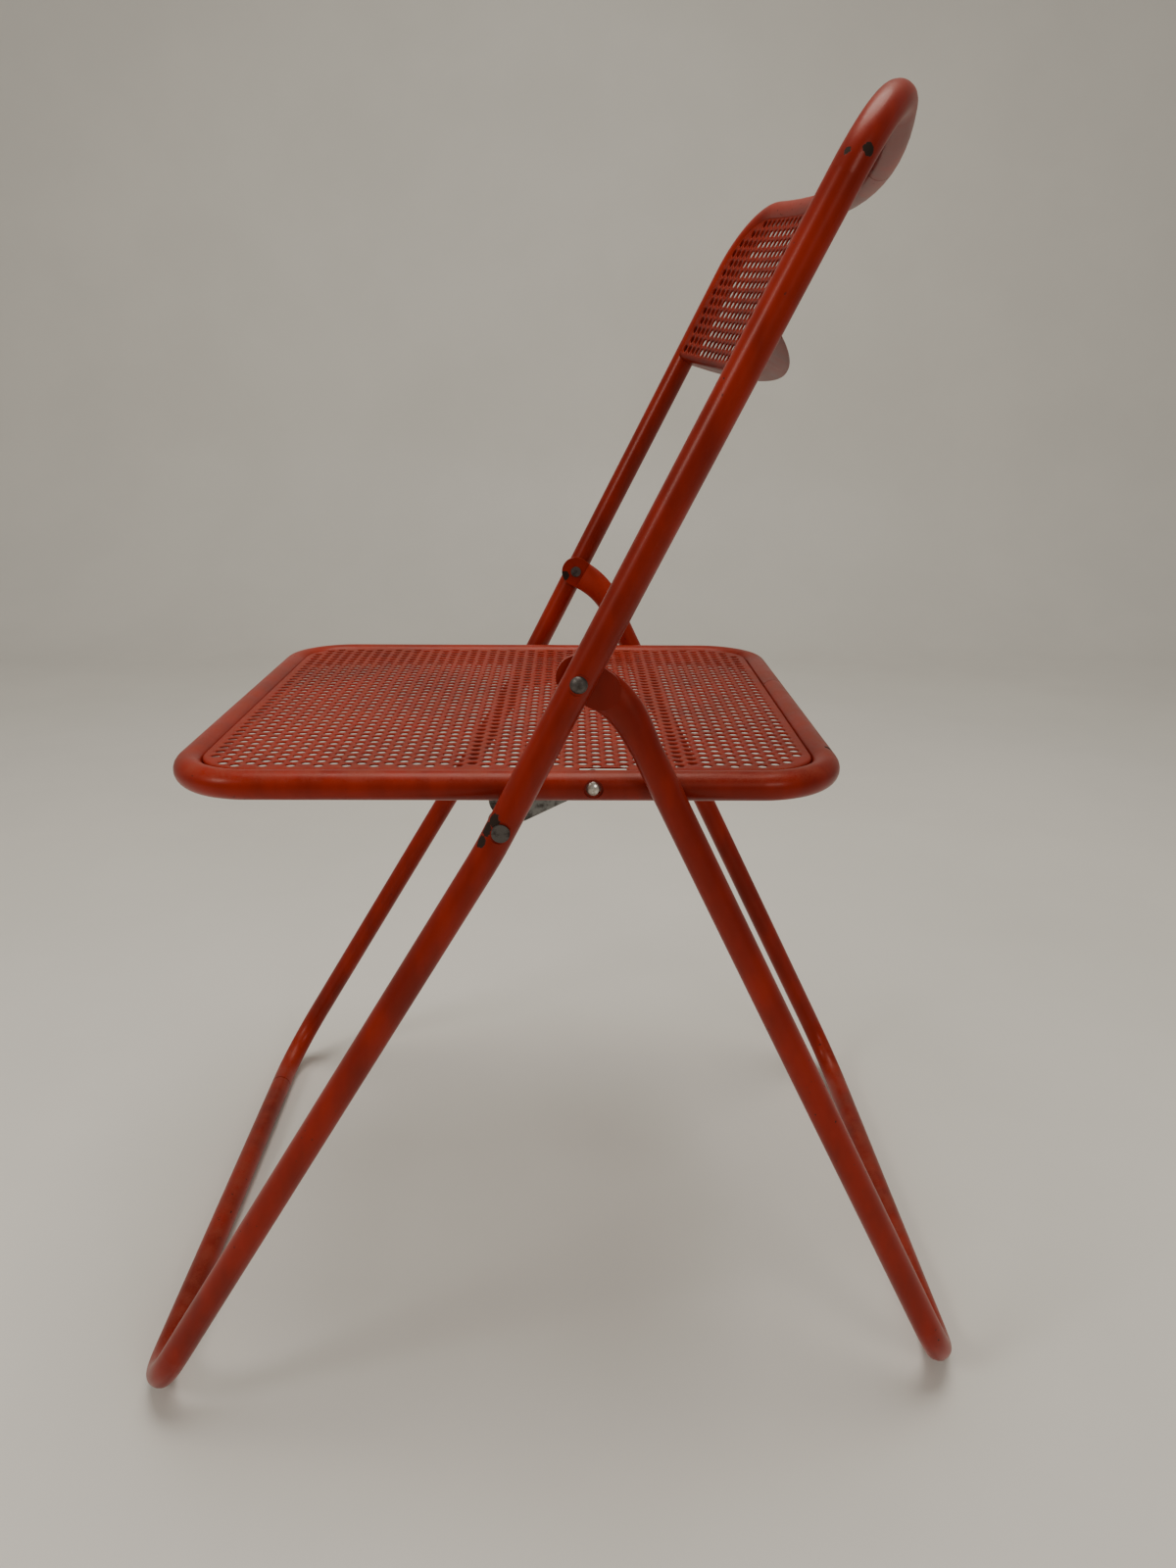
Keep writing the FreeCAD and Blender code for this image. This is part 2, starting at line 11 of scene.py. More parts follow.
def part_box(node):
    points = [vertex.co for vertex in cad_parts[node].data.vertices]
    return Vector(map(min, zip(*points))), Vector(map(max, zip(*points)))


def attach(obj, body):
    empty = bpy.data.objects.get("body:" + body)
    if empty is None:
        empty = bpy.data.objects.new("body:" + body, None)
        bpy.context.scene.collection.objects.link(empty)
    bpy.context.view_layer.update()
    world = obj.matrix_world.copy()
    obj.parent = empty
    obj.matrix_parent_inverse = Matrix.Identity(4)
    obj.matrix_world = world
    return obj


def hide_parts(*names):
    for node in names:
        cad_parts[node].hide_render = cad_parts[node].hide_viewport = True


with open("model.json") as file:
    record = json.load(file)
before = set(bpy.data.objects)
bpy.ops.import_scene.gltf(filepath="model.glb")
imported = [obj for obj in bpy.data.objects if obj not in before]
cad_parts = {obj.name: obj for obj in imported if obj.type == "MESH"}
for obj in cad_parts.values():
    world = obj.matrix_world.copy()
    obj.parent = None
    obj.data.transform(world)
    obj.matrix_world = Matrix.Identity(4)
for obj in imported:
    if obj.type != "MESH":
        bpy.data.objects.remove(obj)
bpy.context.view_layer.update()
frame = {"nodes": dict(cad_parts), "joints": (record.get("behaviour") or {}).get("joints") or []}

bl_info = {
    "name": "Red Folding Chair",
    "version": (1, 0, 0),
    "blender": (4, 5, 0),
    "location": "3D View > Sidebar > Chair",
    "description": "Perforated sheets, worn gloss paint and a studio for a tube steel folding chair",
    "category": "Object",
}

MM = 0.001
NODES = frame["nodes"]
JOINTS = {joint["name"]: Vector(joint["pos_m"]) for joint in frame["joints"]}
SIDES = {"left": -1.0, "right": 1.0}

WELD_DISTANCE = 0.02 * MM    # points nearer than this become one
CUT_SNAP = 0.001 * MM        # a point nearer than this to a cut lies on it
LINE_TOLERANCE = 0.01 * MM   # how far a point may lie off a straight edge
EDGE_TOLERANCE = 0.25 * MM   # how far inside the outline an edge's points may lie
CUT_MARGIN = 12.0 * MM       # how far round a notch the sheet is cut
CORNER_CUTS = 12             # a corner's quarter circle is trimmed at each twelfth of it
BEND_STEPS = 3
FLOOR_STEPS = 12
SHARP_ANGLE = math.radians(35)


# ---- sizes and colours ------------------------------------------------------------------

class ChairSheets(PropertyGroup):
    hole_diameter: FloatProperty(
        name="Hole diameter", description="Punched holes of both sheets", default=6.2 * MM, unit="LENGTH")
    hole_pitch: FloatProperty(
        name="Hole pitch", description="Distance between neighbouring holes", default=9.6 * MM, unit="LENGTH")
    hole_rim: FloatProperty(
        name="Hole rim", description="Least metal between a hole and the edge of the sheet",
        default=0.9 * MM, unit="LENGTH")
    hole_sides: IntProperty(
        name="Hole sides", description="Flat sides of each punched hole", default=12)
    thickness: FloatProperty(
        name="Sheet thickness", description="Thickness of both sheets", default=1.0 * MM, unit="LENGTH")
    seat_edge_roll: FloatProperty(
        name="Seat edge roll", description="Radius between the seat sheet and its flange",
        default=1.2 * MM, unit="LENGTH")
    seat_corner: FloatProperty(
        name="Seat sheet corner", description="Corner radius of the seat sheet",
        default=36.0 * MM, unit="LENGTH")
    link_notch_front: FloatProperty(
        name="Link notch front", description="How far the notch over a link runs ahead of its rivet",
        default=8.0 * MM, unit="LENGTH")
    link_notch_rear: FloatProperty(
        name="Link notch rear", description="How far the notch over a link runs behind its rivet",
        default=20.0 * MM, unit="LENGTH")
    link_notch_depth: FloatProperty(
        name="Link notch depth", description="Depth of the notch over a link, from the sheet's edge",
        default=4.4 * MM, unit="LENGTH")
    stud_notch_gap: FloatProperty(
        name="Stud notch gap", description="Room round a stud's washer in the seat sheet's flange",
        default=0.6 * MM, unit="LENGTH")
    back_corner: FloatProperty(
        name="Back sheet corner", description="Upper corner radius of the back sheet",
        default=44.5 * MM, unit="LENGTH")
    back_lean: FloatProperty(
        name="Back lean", description="Lean of the uprights from vertical",
        default=math.radians(27.1), subtype="ANGLE")
    back_bow_radius: FloatProperty(
        name="Back bow radius", description="Radius of the bowed back sheet",
        default=702.9 * MM, unit="LENGTH")
    back_height: FloatProperty(
        name="Back height", description="Height of the back sheet along its lean",
        default=121.0 * MM, unit="LENGTH")
    back_lip: FloatProperty(
        name="Back lip", description="Depth of the lip along the lower edge",
        default=15.0 * MM, unit="LENGTH")
    back_lip_radius: FloatProperty(
        name="Back lip radius", description="Bend between the back sheet and its lip",
        default=4.0 * MM, unit="LENGTH")


class ChairPaint(PropertyGroup):
    enamel: FloatVectorProperty(
        name="Enamel", description="Red gloss paint", subtype="COLOR", size=3,
        default=(0.26, 0.0105, 0.0020))
    enamel_deep: FloatVectorProperty(
        name="Deep enamel", description="Where the paint lies thick or is grimy", subtype="COLOR", size=3,
        default=(0.155, 0.0055, 0.0012))
    enamel_faded: FloatVectorProperty(
        name="Faded enamel", description="Where the paint is rubbed and dusty", subtype="COLOR", size=3,
        default=(0.25, 0.048, 0.028))
    bare_steel: FloatVectorProperty(
        name="Bare steel", description="Dark steel under chipped paint", subtype="COLOR", size=3,
        default=(0.014, 0.010, 0.008))
    dark_steel: FloatVectorProperty(
        name="Dark steel", description="Unplated rivets, studs and spigots", subtype="COLOR", size=3,
        default=(0.11, 0.10, 0.095))
    dark_steel_grime: FloatVectorProperty(
        name="Dark steel grime", description="Dirt on the unplated steel", subtype="COLOR", size=3,
        default=(0.03, 0.02, 0.016))
    zinc: FloatVectorProperty(
        name="Zinc", description="Dull plate on links and washers", subtype="COLOR", size=3,
        default=(0.23, 0.23, 0.22))
    zinc_grime: FloatVectorProperty(
        name="Zinc grime", description="Dirt on the dull plate", subtype="COLOR", size=3,
        default=(0.06, 0.052, 0.045))
    nickel: FloatVectorProperty(
        name="Nickel", description="Bright plate on the link rivets", subtype="COLOR", size=3,
        default=(0.62, 0.59, 0.54))
    nickel_grime: FloatVectorProperty(
        name="Nickel grime", description="Dirt on the bright plate", subtype="COLOR", size=3,
        default=(0.20, 0.15, 0.11))
    paint_roughness: FloatProperty(
        name="Paint roughness", description="Roughness of the enamel where it is clean",
        subtype="FACTOR", default=0.36, min=0.0, max=1.0)


class ChairStudio(PropertyGroup):
    floor: FloatVectorProperty(
        name="Floor", description="Floor and backdrop", subtype="COLOR", size=3,
        default=(0.72, 0.70, 0.66))
    lamp_colour: FloatVectorProperty(
        name="Lamp colour", description="Colour of the soft lights", subtype="COLOR", size=3,
        default=(1.0, 0.95, 0.86))
    air_colour: FloatVectorProperty(
        name="Air colour", description="Colour of the light from all round", subtype="COLOR", size=3,
        default=(0.80, 0.76, 0.68))
    air_strength: FloatProperty(
        name="Air strength", description="Strength of the light from all round", default=0.38)
    camera_place: FloatVectorProperty(
        name="Camera place", description="Where the camera stands", subtype="XYZ", unit="LENGTH",
        size=3, default=(0.01015, -0.8473, 0.6427))
    camera_turn: FloatVectorProperty(
        name="Camera turn", description="Yaw, downward pitch and roll of the camera", subtype="EULER",
        unit="ROTATION", size=3, default=(math.radians(0.88), math.radians(17.85), math.radians(0.38)))
    camera_lens: FloatProperty(
        name="Camera lens", description="Focal length over a 36 mm wide frame", default=36.0)


# ---- shader sums ------------------------------------------------------------------------

class Value:
    """A node's output socket, for sums on numbers written as plain expressions."""

    def __init__(self, paint, socket):
        self.paint = paint
        self.socket = socket

    def combine(self, operation, *values):
        return self.paint.node("ShaderNodeMath", {"operation": operation}, dict(enumerate(values)))

    def __add__(self, other):
        return self.combine("ADD", self, other)

    __radd__ = __add__

    def __sub__(self, other):
        return self.combine("SUBTRACT", self, other)

    def __rsub__(self, other):
        return self.combine("SUBTRACT", other, self)

    def __mul__(self, other):
        return self.combine("MULTIPLY", self, other)

    __rmul__ = __mul__

    def __or__(self, other):
        """Whichever is larger, so that two masks join into one."""
        return self.combine("MAXIMUM", self, other)

    def ramp(self, low, high):
        """0 below low, 1 above high, smooth in between."""
        return self.paint.node(
            "ShaderNodeMapRange", {"interpolation_type": "SMOOTHSTEP", "clamp": True},
            {"Value": self, "From Min": low, "From Max": high, "To Min": 0.0, "To Max": 1.0})


class Paint:
    """A node material under construction."""

    def __init__(self, name):
        self.material = bpy.data.materials.new(name)
        self.material.use_nodes = True
        self.tree = self.material.node_tree
        self.surface = self.tree.nodes["Principled BSDF"]
        self.place = self.node("ShaderNodeTexCoord", output="Object")

    def node(self, kind, settings=None, inputs=None, output=0):
        """Adds a node: its settings first, then the values or links of its sockets."""
        made = self.tree.nodes.new(kind)
        for key, value in (settings or {}).items():
            setattr(made, key, value)
        self.feed(made, inputs or {})
        return Value(self, made.outputs[output])

    def feed(self, made, inputs):
        """Links or sets a node's sockets. A colour gets its alpha here."""
        for key, value in inputs.items():
            socket = made.inputs[key]
            if isinstance(value, Value):
                self.tree.links.new(value.socket, socket)
            elif hasattr(value, "__len__") and len(value) == 3 and socket.type == "RGBA":
                socket.default_value = (*value, 1.0)
            else:
                socket.default_value = value

    def noise(self, scale, detail=2.0, roughness=0.5, stretch=None):
        """Cloudy pattern, finer with a larger scale. A stretch below 1 draws it out along that axis."""
        place = self.place
        if stretch:
            place = self.node("ShaderNodeMapping", {}, {"Vector": self.place, "Scale": stretch})
        return self.node(
            "ShaderNodeTexNoise", {},
            {"Vector": place, "Scale": scale, "Detail": detail, "Roughness": roughness})

    def mix(self, share, low, high):
        """Colour between two colours. The node's colour sockets are inputs 6 and 7 and output 2."""
        return self.node("ShaderNodeMix", {"data_type": "RGBA"}, {0: share, 6: low, 7: high}, output=2)

    def near(self, point, radius):
        """1 round a point, falling to 0 at a radius from it."""
        distance = self.node(
            "ShaderNodeVectorMath", {"operation": "DISTANCE"}, {0: self.place, 1: tuple(point)},
            output="Value")
        return 1.0 - distance.ramp(radius * 0.35, radius)

    def facing_up(self):
        """1 where a surface looks up in the room, 0 where it looks sideways or down."""
        normal = self.node("ShaderNodeNewGeometry", output="Normal")
        up = self.node(
            "ShaderNodeVectorMath", {"operation": "DOT_PRODUCT"}, {0: normal, 1: (0, 0, 1)},
            output="Value")
        return up.ramp(0.2, 0.95)

    def bump(self, height, distance, strength):
        return self.node(
            "ShaderNodeBump", {}, {"Height": height, "Distance": distance, "Strength": strength},
            output="Normal")

    def finish(self, **inputs):
        """Feeds the surface. Underscores in a name stand for spaces."""
        self.feed(self.surface, {key.replace("_", " "): value for key, value in inputs.items()})
        return self.material


# Where the paint is knocked off: each chip's middle and its reach, in millimetres.
CHIPS = (
    ((138.3, -235.5, 758.2), 5.0),    # left top corner
    ((148.5, -233.5, 757.7), 5.0),
    ((-33.5, -235.0, 424.5), 7.5),    # round the left frame rivet
    ((-38.5, -233.5, 419.0), 8.0),
    ((-41.0, -233.5, 411.5), 6.5),
    ((172.0, -137.0, 437.0), 5.0),    # left rear corner of the seat
    ((4.0, 213.0, 497.0), 7.0),       # beside the right leg rivet
    ((-276.0, -196.0, 8.0), 12.0),    # left end of the front floor bar
    ((262.0, 196.0, 30.0), 9.0),      # right end of the rear leg's bar
)


def shaded(colour, shade):
    return tuple(shade * part for part in colour)


def enamel(name, looks, wear, dust, coat=0.12, shine=0.32, shade=1.0):
    """Red gloss enamel, brushed a little unevenly, with grime, dust, pinholes and chips. A shade below 1
    darkens both reds as painted shade.
    """
    paint = Paint(name)
    cloud = paint.noise(9.0, 4.0, 0.6)
    streak = paint.noise(55.0, 3.0, 0.55, (1.0, 1.0, 0.25))
    grain = paint.noise(900.0, 2.0, 0.6)
    speck = paint.noise(420.0, 1.0, 0.4)
    patch = paint.noise(70.0, 5.0, 0.7)

    tone = (cloud * 0.65 + streak * 0.35).ramp(0.36, 0.64)
    # A shade below 1 scales both reds darker: painted shade on the same paint, not a different paint.
    colour = paint.mix(tone, shaded(looks.enamel_deep, shade), shaded(looks.enamel, shade))
    powder = paint.facing_up() * (patch * 0.6 + grain * 0.4).ramp(0.38, 0.62) * dust
    colour = paint.mix(powder, colour, looks.enamel_faded)

    chips = paint.near(Vector(CHIPS[0][0]) * MM, CHIPS[0][1] * MM)
    for place, reach in CHIPS[1:]:
        chips = chips | paint.near(Vector(place) * MM, reach * MM)
    flake = paint.noise(330.0, 4.0, 0.65)
    ragged = (chips * 0.6 + flake * 0.8).ramp(0.77, 0.81)
    pinhole = speck.ramp(0.745 - wear, 0.765 - wear) * cloud.ramp(0.5, 0.62)
    bare = ragged | pinhole
    colour = paint.mix(bare, colour, looks.bare_steel)

    roughness = looks.paint_roughness + streak * 0.10 - 0.05 + powder * 0.25 + bare * 0.3
    ripple = paint.noise(140.0, 2.0, 0.5)
    height = ripple * 0.35 + grain * 0.10 - bare * 0.9
    return paint.finish(
        Base_Color=colour,
        Roughness=roughness,
        Normal=paint.bump(height, 0.12 * MM, 0.6),
        Coat_Weight=(1.0 - bare) * (1.0 - powder * 0.8) * coat,
        Coat_Roughness=0.16,
        Coat_IOR=1.4,
        Specular_IOR_Level=shine,
        Specular_Tint=(0.80, 0.50, 0.42),
    )


def worn_metal(name, colour, grime_colour, roughness, brushed):
    """Plated or bare metal with fine scratches and grime. Brushed below 1 draws them out upwards."""
    paint = Paint(name)
    scratch = paint.noise(420.0, 3.0, 0.6, (1.0, 1.0, brushed))
    cloud = paint.noise(160.0, 4.0, 0.65)
    grime = cloud.ramp(0.42, 0.68)
    return paint.finish(
        Base_Color=paint.mix(grime, colour, grime_colour),
        Metallic=1.0 - grime * 0.45,
        Roughness=roughness + scratch * 0.18 + grime * 0.22,
        Normal=paint.bump(scratch * 0.6 + cloud * 0.4, 0.05 * MM, 0.5),
    )


def add_object(name, data):
    obj = bpy.data.objects.new(name, data)
    bpy.context.scene.collection.objects.link(obj)
    return obj


def give_material(obj, material):
    obj.data.materials.clear()
    obj.data.materials.append(material)


def finish_nodes(names, material):
    for name in names:
        give_material(NODES[name], material)


# ---- perforated sheet -------------------------------------------------------------------

def cell_outline(bm, sheets):
    """Six-sided cell outline with a point in the middle of each side."""
    corner_reach = sheets.hole_pitch / math.sqrt(3.0)
    ring = bmesh.ops.create_circle(bm, segments=12, radius=corner_reach)["verts"]
    for vert in ring[1::2]:
        vert.co *= math.cos(math.radians(30))
    bmesh.ops.rotate(bm, verts=ring, matrix=Matrix.Rotation(math.pi / 2, 3, "Z"))
    return ring


def parts_of(verts):
    """Points with the edges and faces that join them."""
    edges = list({edge for vert in verts for edge in vert.link_edges})
    faces = list({face for vert in verts for face in vert.link_faces})
    return list(verts) + edges + faces


def punched_cell(bm, sheets):
    """One cell of sheet with its round hole. Neighbours share its flat sides."""
    ring = cell_outline(bm, sheets)
    hole = bmesh.ops.create_circle(
        bm, segments=sheets.hole_sides, radius=sheets.hole_diameter / 2)["verts"]
    edges = [part for part in parts_of(ring + hole) if isinstance(part, bmesh.types.BMEdge)]
    bmesh.ops.bridge_loops(bm, edges=edges)
    return parts_of(ring + hole)


def plain_cell(bm, sheets):
    """The same cell without its hole."""
    ring = cell_outline(bm, sheets)
    edges = [part for part in parts_of(ring) if isinstance(part, bmesh.types.BMEdge)]
    bmesh.ops.contextual_create(bm, geom=edges)
    return parts_of(ring)


def inset_from_outline(x, y, low, high, corners):
    """How far a point lies inside a rectangle whose given corners are round."""
    inset = min(x - low.x, high.x - x, y - low.y, high.y - y)
    for corner_x, corner_y, radius in corners:
        centre_x = corner_x - math.copysign(radius, corner_x - (low.x + high.x) / 2)
        centre_y = corner_y - math.copysign(radius, corner_y - (low.y + high.y) / 2)
        beyond_x = (x - centre_x) * math.copysign(1.0, corner_x - centre_x)
        beyond_y = (y - centre_y) * math.copysign(1.0, corner_y - centre_y)
        if beyond_x > 0 and beyond_y > 0:
            inset = min(inset, radius - math.hypot(beyond_x, beyond_y))
    return inset


def punched_sheet(sheets, low, high, corners):
    """Flat sheet at z = 0 with staggered holes, cut to a rectangle with round corners."""
    bm = bmesh.new()
    cell = punched_cell(bm, sheets)
    blank = plain_cell(bm, sheets)
    step = sheets.hole_pitch * math.sqrt(3.0) / 2
    middle = (low + high) / 2
    rows = int((high.x - low.x) / step / 2) + 2
    columns = int((high.y - low.y) / sheets.hole_pitch / 2) + 2
    reach = sheets.hole_diameter / 2 + sheets.hole_rim
    for row in range(-rows, rows + 1):
        for column in range(-columns, columns + 1):
            x = middle.x + (row + 0.5) * step
            y = middle.y + (column + 0.5 * (row % 2)) * sheets.hole_pitch
            inset = inset_from_outline(x, y, low, high, corners)
            if inset < -sheets.hole_pitch:
                continue
            copied = bmesh.ops.duplicate(bm, geom=cell if inset > reach else blank)["geom"]
            verts = [part for part in copied if isinstance(part, bmesh.types.BMVert)]
            bmesh.ops.translate(bm, verts=verts, vec=(x, y, 0.0))
    patterns = [part for part in cell + blank if isinstance(part, bmesh.types.BMVert)]
    bmesh.ops.delete(bm, geom=patterns, context="VERTS")
    bmesh.ops.remove_doubles(bm, verts=bm.verts[:], dist=WELD_DISTANCE)

    def trim(point, outward):
        everything = bm.verts[:] + bm.edges[:] + bm.faces[:]
        bmesh.ops.bisect_plane(
            bm, geom=everything, dist=CUT_SNAP, plane_co=point, plane_no=outward, clear_outer=True)

    trim((low.x, middle.y, 0), (-1, 0, 0))
    trim((high.x, middle.y, 0), (1, 0, 0))
    trim((middle.x, low.y, 0), (0, -1, 0))
    trim((middle.x, high.y, 0), (0, 1, 0))
    for corner_x, corner_y, radius in corners:
        toward_x = math.copysign(1.0, corner_x - middle.x)
        toward_y = math.copysign(1.0, corner_y - middle.y)
        centre = Vector((corner_x - toward_x * radius, corner_y - toward_y * radius, 0))
        for i in range(1, CORNER_CUTS):
            angle = math.radians(90 / CORNER_CUTS * i)
            outward = Vector((toward_x * math.cos(angle), toward_y * math.sin(angle), 0))
            trim(centre + outward * radius, outward)
    bmesh.ops.recalc_face_normals(bm, faces=bm.faces[:])
    if sum(face.normal.z for face in bm.faces) < 0:
        bmesh.ops.reverse_faces(bm, faces=bm.faces[:])
    return bm


def outline_edges(bm, low, high, corners):
    """Edges of the sheet's outer edge, and not those of its holes."""
    found = []
    for edge in bm.edges:
        if edge.is_boundary:
            insets = [inset_from_outline(v.co.x, v.co.y, low, high, corners) for v in edge.verts]
            if max(insets) < EDGE_TOLERANCE:
                found.append(edge)
    return found


def extrude_edges(bm, edges, move):
    """Extrudes edges and moves the new ones. Returns the new edges."""
    made = bmesh.ops.extrude_edge_only(bm, edges=edges)["geom"]
    verts = [part for part in made if isinstance(part, bmesh.types.BMVert)]
    for vert in verts:
        vert.co = move(vert.co)
    return [part for part in made if isinstance(part, bmesh.types.BMEdge)]


def quarter_bend(radius, steps):
    """Moves along and across that carry an edge round a quarter of a circle, one for each step."""
    turns = [math.radians(90 / steps * i) for i in range(steps + 1)]
    return [
        (radius * (math.sin(after) - math.sin(before)), radius * (math.cos(before) - math.cos(after)))
        for before, after in zip(turns, turns[1:])]


def faces_in_box(bm, low, high, margin):
    """Faces whose middle lies in a box that is larger by a margin on every side."""
    found = []
    for face in bm.faces:
        middle = face.calc_center_median()
        if all(low[k] - margin < middle[k] < high[k] + margin for k in range(3)):
            found.append(face)
    return found


def cut_notch(bm, low, high):
    """Removes what lies in a box, after cutting the sheet along the box's sides."""
    for axis in range(3):
        for bound, sign in ((low, -1.0), (high, 1.0)):
            outward = Vector((0, 0, 0))
            outward[axis] = sign
            nearby = faces_in_box(bm, low, high, CUT_MARGIN)
            verts = list({vert for face in nearby for vert in face.verts})
            edges = list({edge for face in nearby for edge in face.edges})
            bmesh.ops.bisect_plane(
                bm, geom=verts + edges + nearby, dist=CUT_SNAP, plane_co=bound, plane_no=outward)
    bmesh.ops.delete(bm, geom=faces_in_box(bm, low, high, 0.0), context="FACES")


def sheet_object(name, bm, thickness, material, body, node):
    """Gives a finished sheet its thickness and finish, and lets it stand for a CAD node."""
    mesh = bpy.data.meshes.new(name)
    bm.to_mesh(mesh)
    bm.free()
    obj = add_object(name, mesh)
    for face in mesh.polygons:
        face.use_smooth = True
    wall = obj.modifiers.new("wall", "SOLIDIFY")
    wall.thickness = thickness
    wall.offset = 0.0
    wall.use_even_offset = True
    mesh.set_sharp_from_angle(angle=SHARP_ANGLE)
    give_material(obj, material)
    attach(obj, body)
    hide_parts(node)


# ---- operators --------------------------------------------------------------------------

class CHAIR_OT_paint_tubes(Operator):
    """Gives the bent tubes their worn red enamel"""
    bl_idname = "chair.paint_tubes"
    bl_label = "Paint Tubes"

    def execute(self, context):
        material = enamel("red_enamel_tube", context.scene.chair_paint, wear=0.0, dust=0.55)
        finish_nodes(("frame_tube_left", "frame_tube_right", "rear_leg_tube", "seat_tube"), material)
        return {"FINISHED"}


class CHAIR_OT_seat_sheet(Operator):
    """Makes the flat perforated seat sheet with its flange and notches"""
    bl_idname = "chair.seat_sheet"
    bl_label = "Seat Sheet"

    def execute(self, context):
        sheets = context.scene.chair_sheets
        corner_low, corner_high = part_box("seat_panel")
        half = sheets.thickness / 2
        roll = sheets.seat_edge_roll
        low = Vector((corner_low.x + half + roll, corner_low.y + half + roll, 0))
        high = Vector((corner_high.x - half - roll, corner_high.y - half - roll, 0))
        radius = sheets.seat_corner - half - roll
        corners = [(x, y, radius) for x in (low.x, high.x) for y in (low.y, high.y)]
        bm = punched_sheet(sheets, low, high, corners)
        top = corner_high.z - half
        bmesh.ops.translate(bm, verts=bm.verts[:], vec=(0, 0, top))

        middle = (low + high) / 2
        span = (high - low) / 2
        edges = outline_edges(bm, low, high, corners)
        for out, down in quarter_bend(roll, BEND_STEPS):

            def roll_over(place, out=out, down=down):
                away = Vector(((place.x - middle.x) / span.x, (place.y - middle.y) / span.y, 0))
                return place + Vector((away.x * out, away.y * out, -down))

            edges = extrude_edges(bm, edges, roll_over)
        drop = top - roll - corner_low.z
        extrude_edges(bm, edges, lambda place: place - Vector((0, 0, drop)))
        bmesh.ops.recalc_face_normals(bm, faces=bm.faces[:])

        self.cut_notches(bm, sheets, corner_low, corner_high)
        material = enamel(
            "red_enamel_seat", context.scene.chair_paint, wear=0.004, dust=0.7, coat=0.03, shine=0.2)
        sheet_object("seat_sheet", bm, sheets.thickness, material, "seat", "seat_panel")
        return {"FINISHED"}

    def cut_notches(self, bm, sheets, corner_low, corner_high):
        """A notch through the sheet over each link, and one in the flange for each stud's washer."""
        rivet_low, rivet_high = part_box("link_rivet_left")
        rivet_x = (rivet_low.x + rivet_high.x) / 2
        washer_low, washer_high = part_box("stud_washer_left")
        stud_x = JOINTS["seat_fold"].x
        stud_reach = (washer_high.x - washer_low.x) / 2 + sheets.stud_notch_gap
        # The stud's notch stops within the rolled edge, so the flat sheet above it stays whole.
        stud_notch_top = corner_high.z - sheets.thickness / 2 - sheets.seat_edge_roll * 0.8
        below = corner_low.z - CUT_MARGIN
        above = corner_high.z + CUT_MARGIN
        for side in SIDES.values():
            outside_y = side * (corner_high.y + sheets.thickness)
            link_y = sorted((outside_y, side * (corner_high.y - sheets.link_notch_depth)))
            cut_notch(
                bm,
                Vector((rivet_x - sheets.link_notch_front, link_y[0], below)),
                Vector((rivet_x + sheets.link_notch_rear, link_y[1], above)))
            stud_y = sorted((outside_y, side * (corner_high.y - sheets.thickness)))
            cut_notch(
                bm,
                Vector((stud_x - stud_reach, stud_y[0], below)),
                Vector((stud_x + stud_reach, stud_y[1], stud_notch_top)))


class CHAIR_OT_back_sheet(Operator):
    """Makes the bowed perforated back sheet with the lip along its lower edge"""
    bl_idname = "chair.back_sheet"
    bl_label = "Back Sheet"

    def execute(self, context):
        sheets = context.scene.chair_sheets
        bow = sheets.back_bow_radius
        half_arc = bow * math.asin(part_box("back_panel")[1].y / bow)
        lip_r = sheets.back_lip_radius - sheets.thickness / 2
        up_low = lip_r + sheets.thickness / 2
        low = Vector((up_low, -half_arc, 0))
        high = Vector((sheets.back_height, half_arc, 0))
        corners = [(high.x, low.y, sheets.back_corner), (high.x, high.y, sheets.back_corner)]
        bm = punched_sheet(sheets, low, high, corners)

        edges = [
            edge for edge in outline_edges(bm, low, high, corners)
            if all(vert.co.x < up_low + LINE_TOLERANCE for vert in edge.verts)]
        for down, back in quarter_bend(lip_r, BEND_STEPS):
            edges = extrude_edges(
                bm, edges, lambda place, down=down, back=back: place + Vector((-down, 0, back)))
        reach = sheets.back_lip - lip_r
        extrude_edges(bm, edges, lambda place: place + Vector((0, 0, reach)))
        bmesh.ops.recalc_face_normals(bm, faces=bm.faces[:])

        # Bend: x is the height along the lean, y the arc, z the distance behind the sheet's middle.
        lean = sheets.back_lean
        up = Vector((math.sin(lean), 0, math.cos(lean)))
        back = Vector((math.cos(lean), 0, -math.sin(lean)))
        foot = self.top_middle(up, back, sheets.thickness) - up * sheets.back_height
        hub = foot - back * bow
        for vert in bm.verts:
            angle = vert.co.y / bow
            radius = bow + vert.co.z
            across = Vector((0, radius * math.sin(angle), 0))
            vert.co = hub + up * vert.co.x + back * (radius * math.cos(angle)) + across
        # The back sheet gets the same red at 0.7 of its brightness: painted shade.
        material = enamel(
            "red_enamel_back_painted_shade", context.scene.chair_paint,
            wear=0.002, dust=0.4, coat=0.0, shine=0.10, shade=0.7)
        sheet_object("back_sheet", bm, sheets.thickness, material, "main_frame", "back_panel")
        return {"FINISHED"}

    def top_middle(self, up, back, thickness):
        """Middle of the sheet's upper edge, from the solid sheet it replaces."""
        edge_band = 0.5 * MM
        places = [vert.co for vert in NODES["back_panel"].data.vertices]
        upper = max(place.dot(up) for place in places)
        rear = max(place.dot(back) for place in places if place.dot(up) > upper - edge_band)
        return up * upper + back * (rear - thickness / 2)


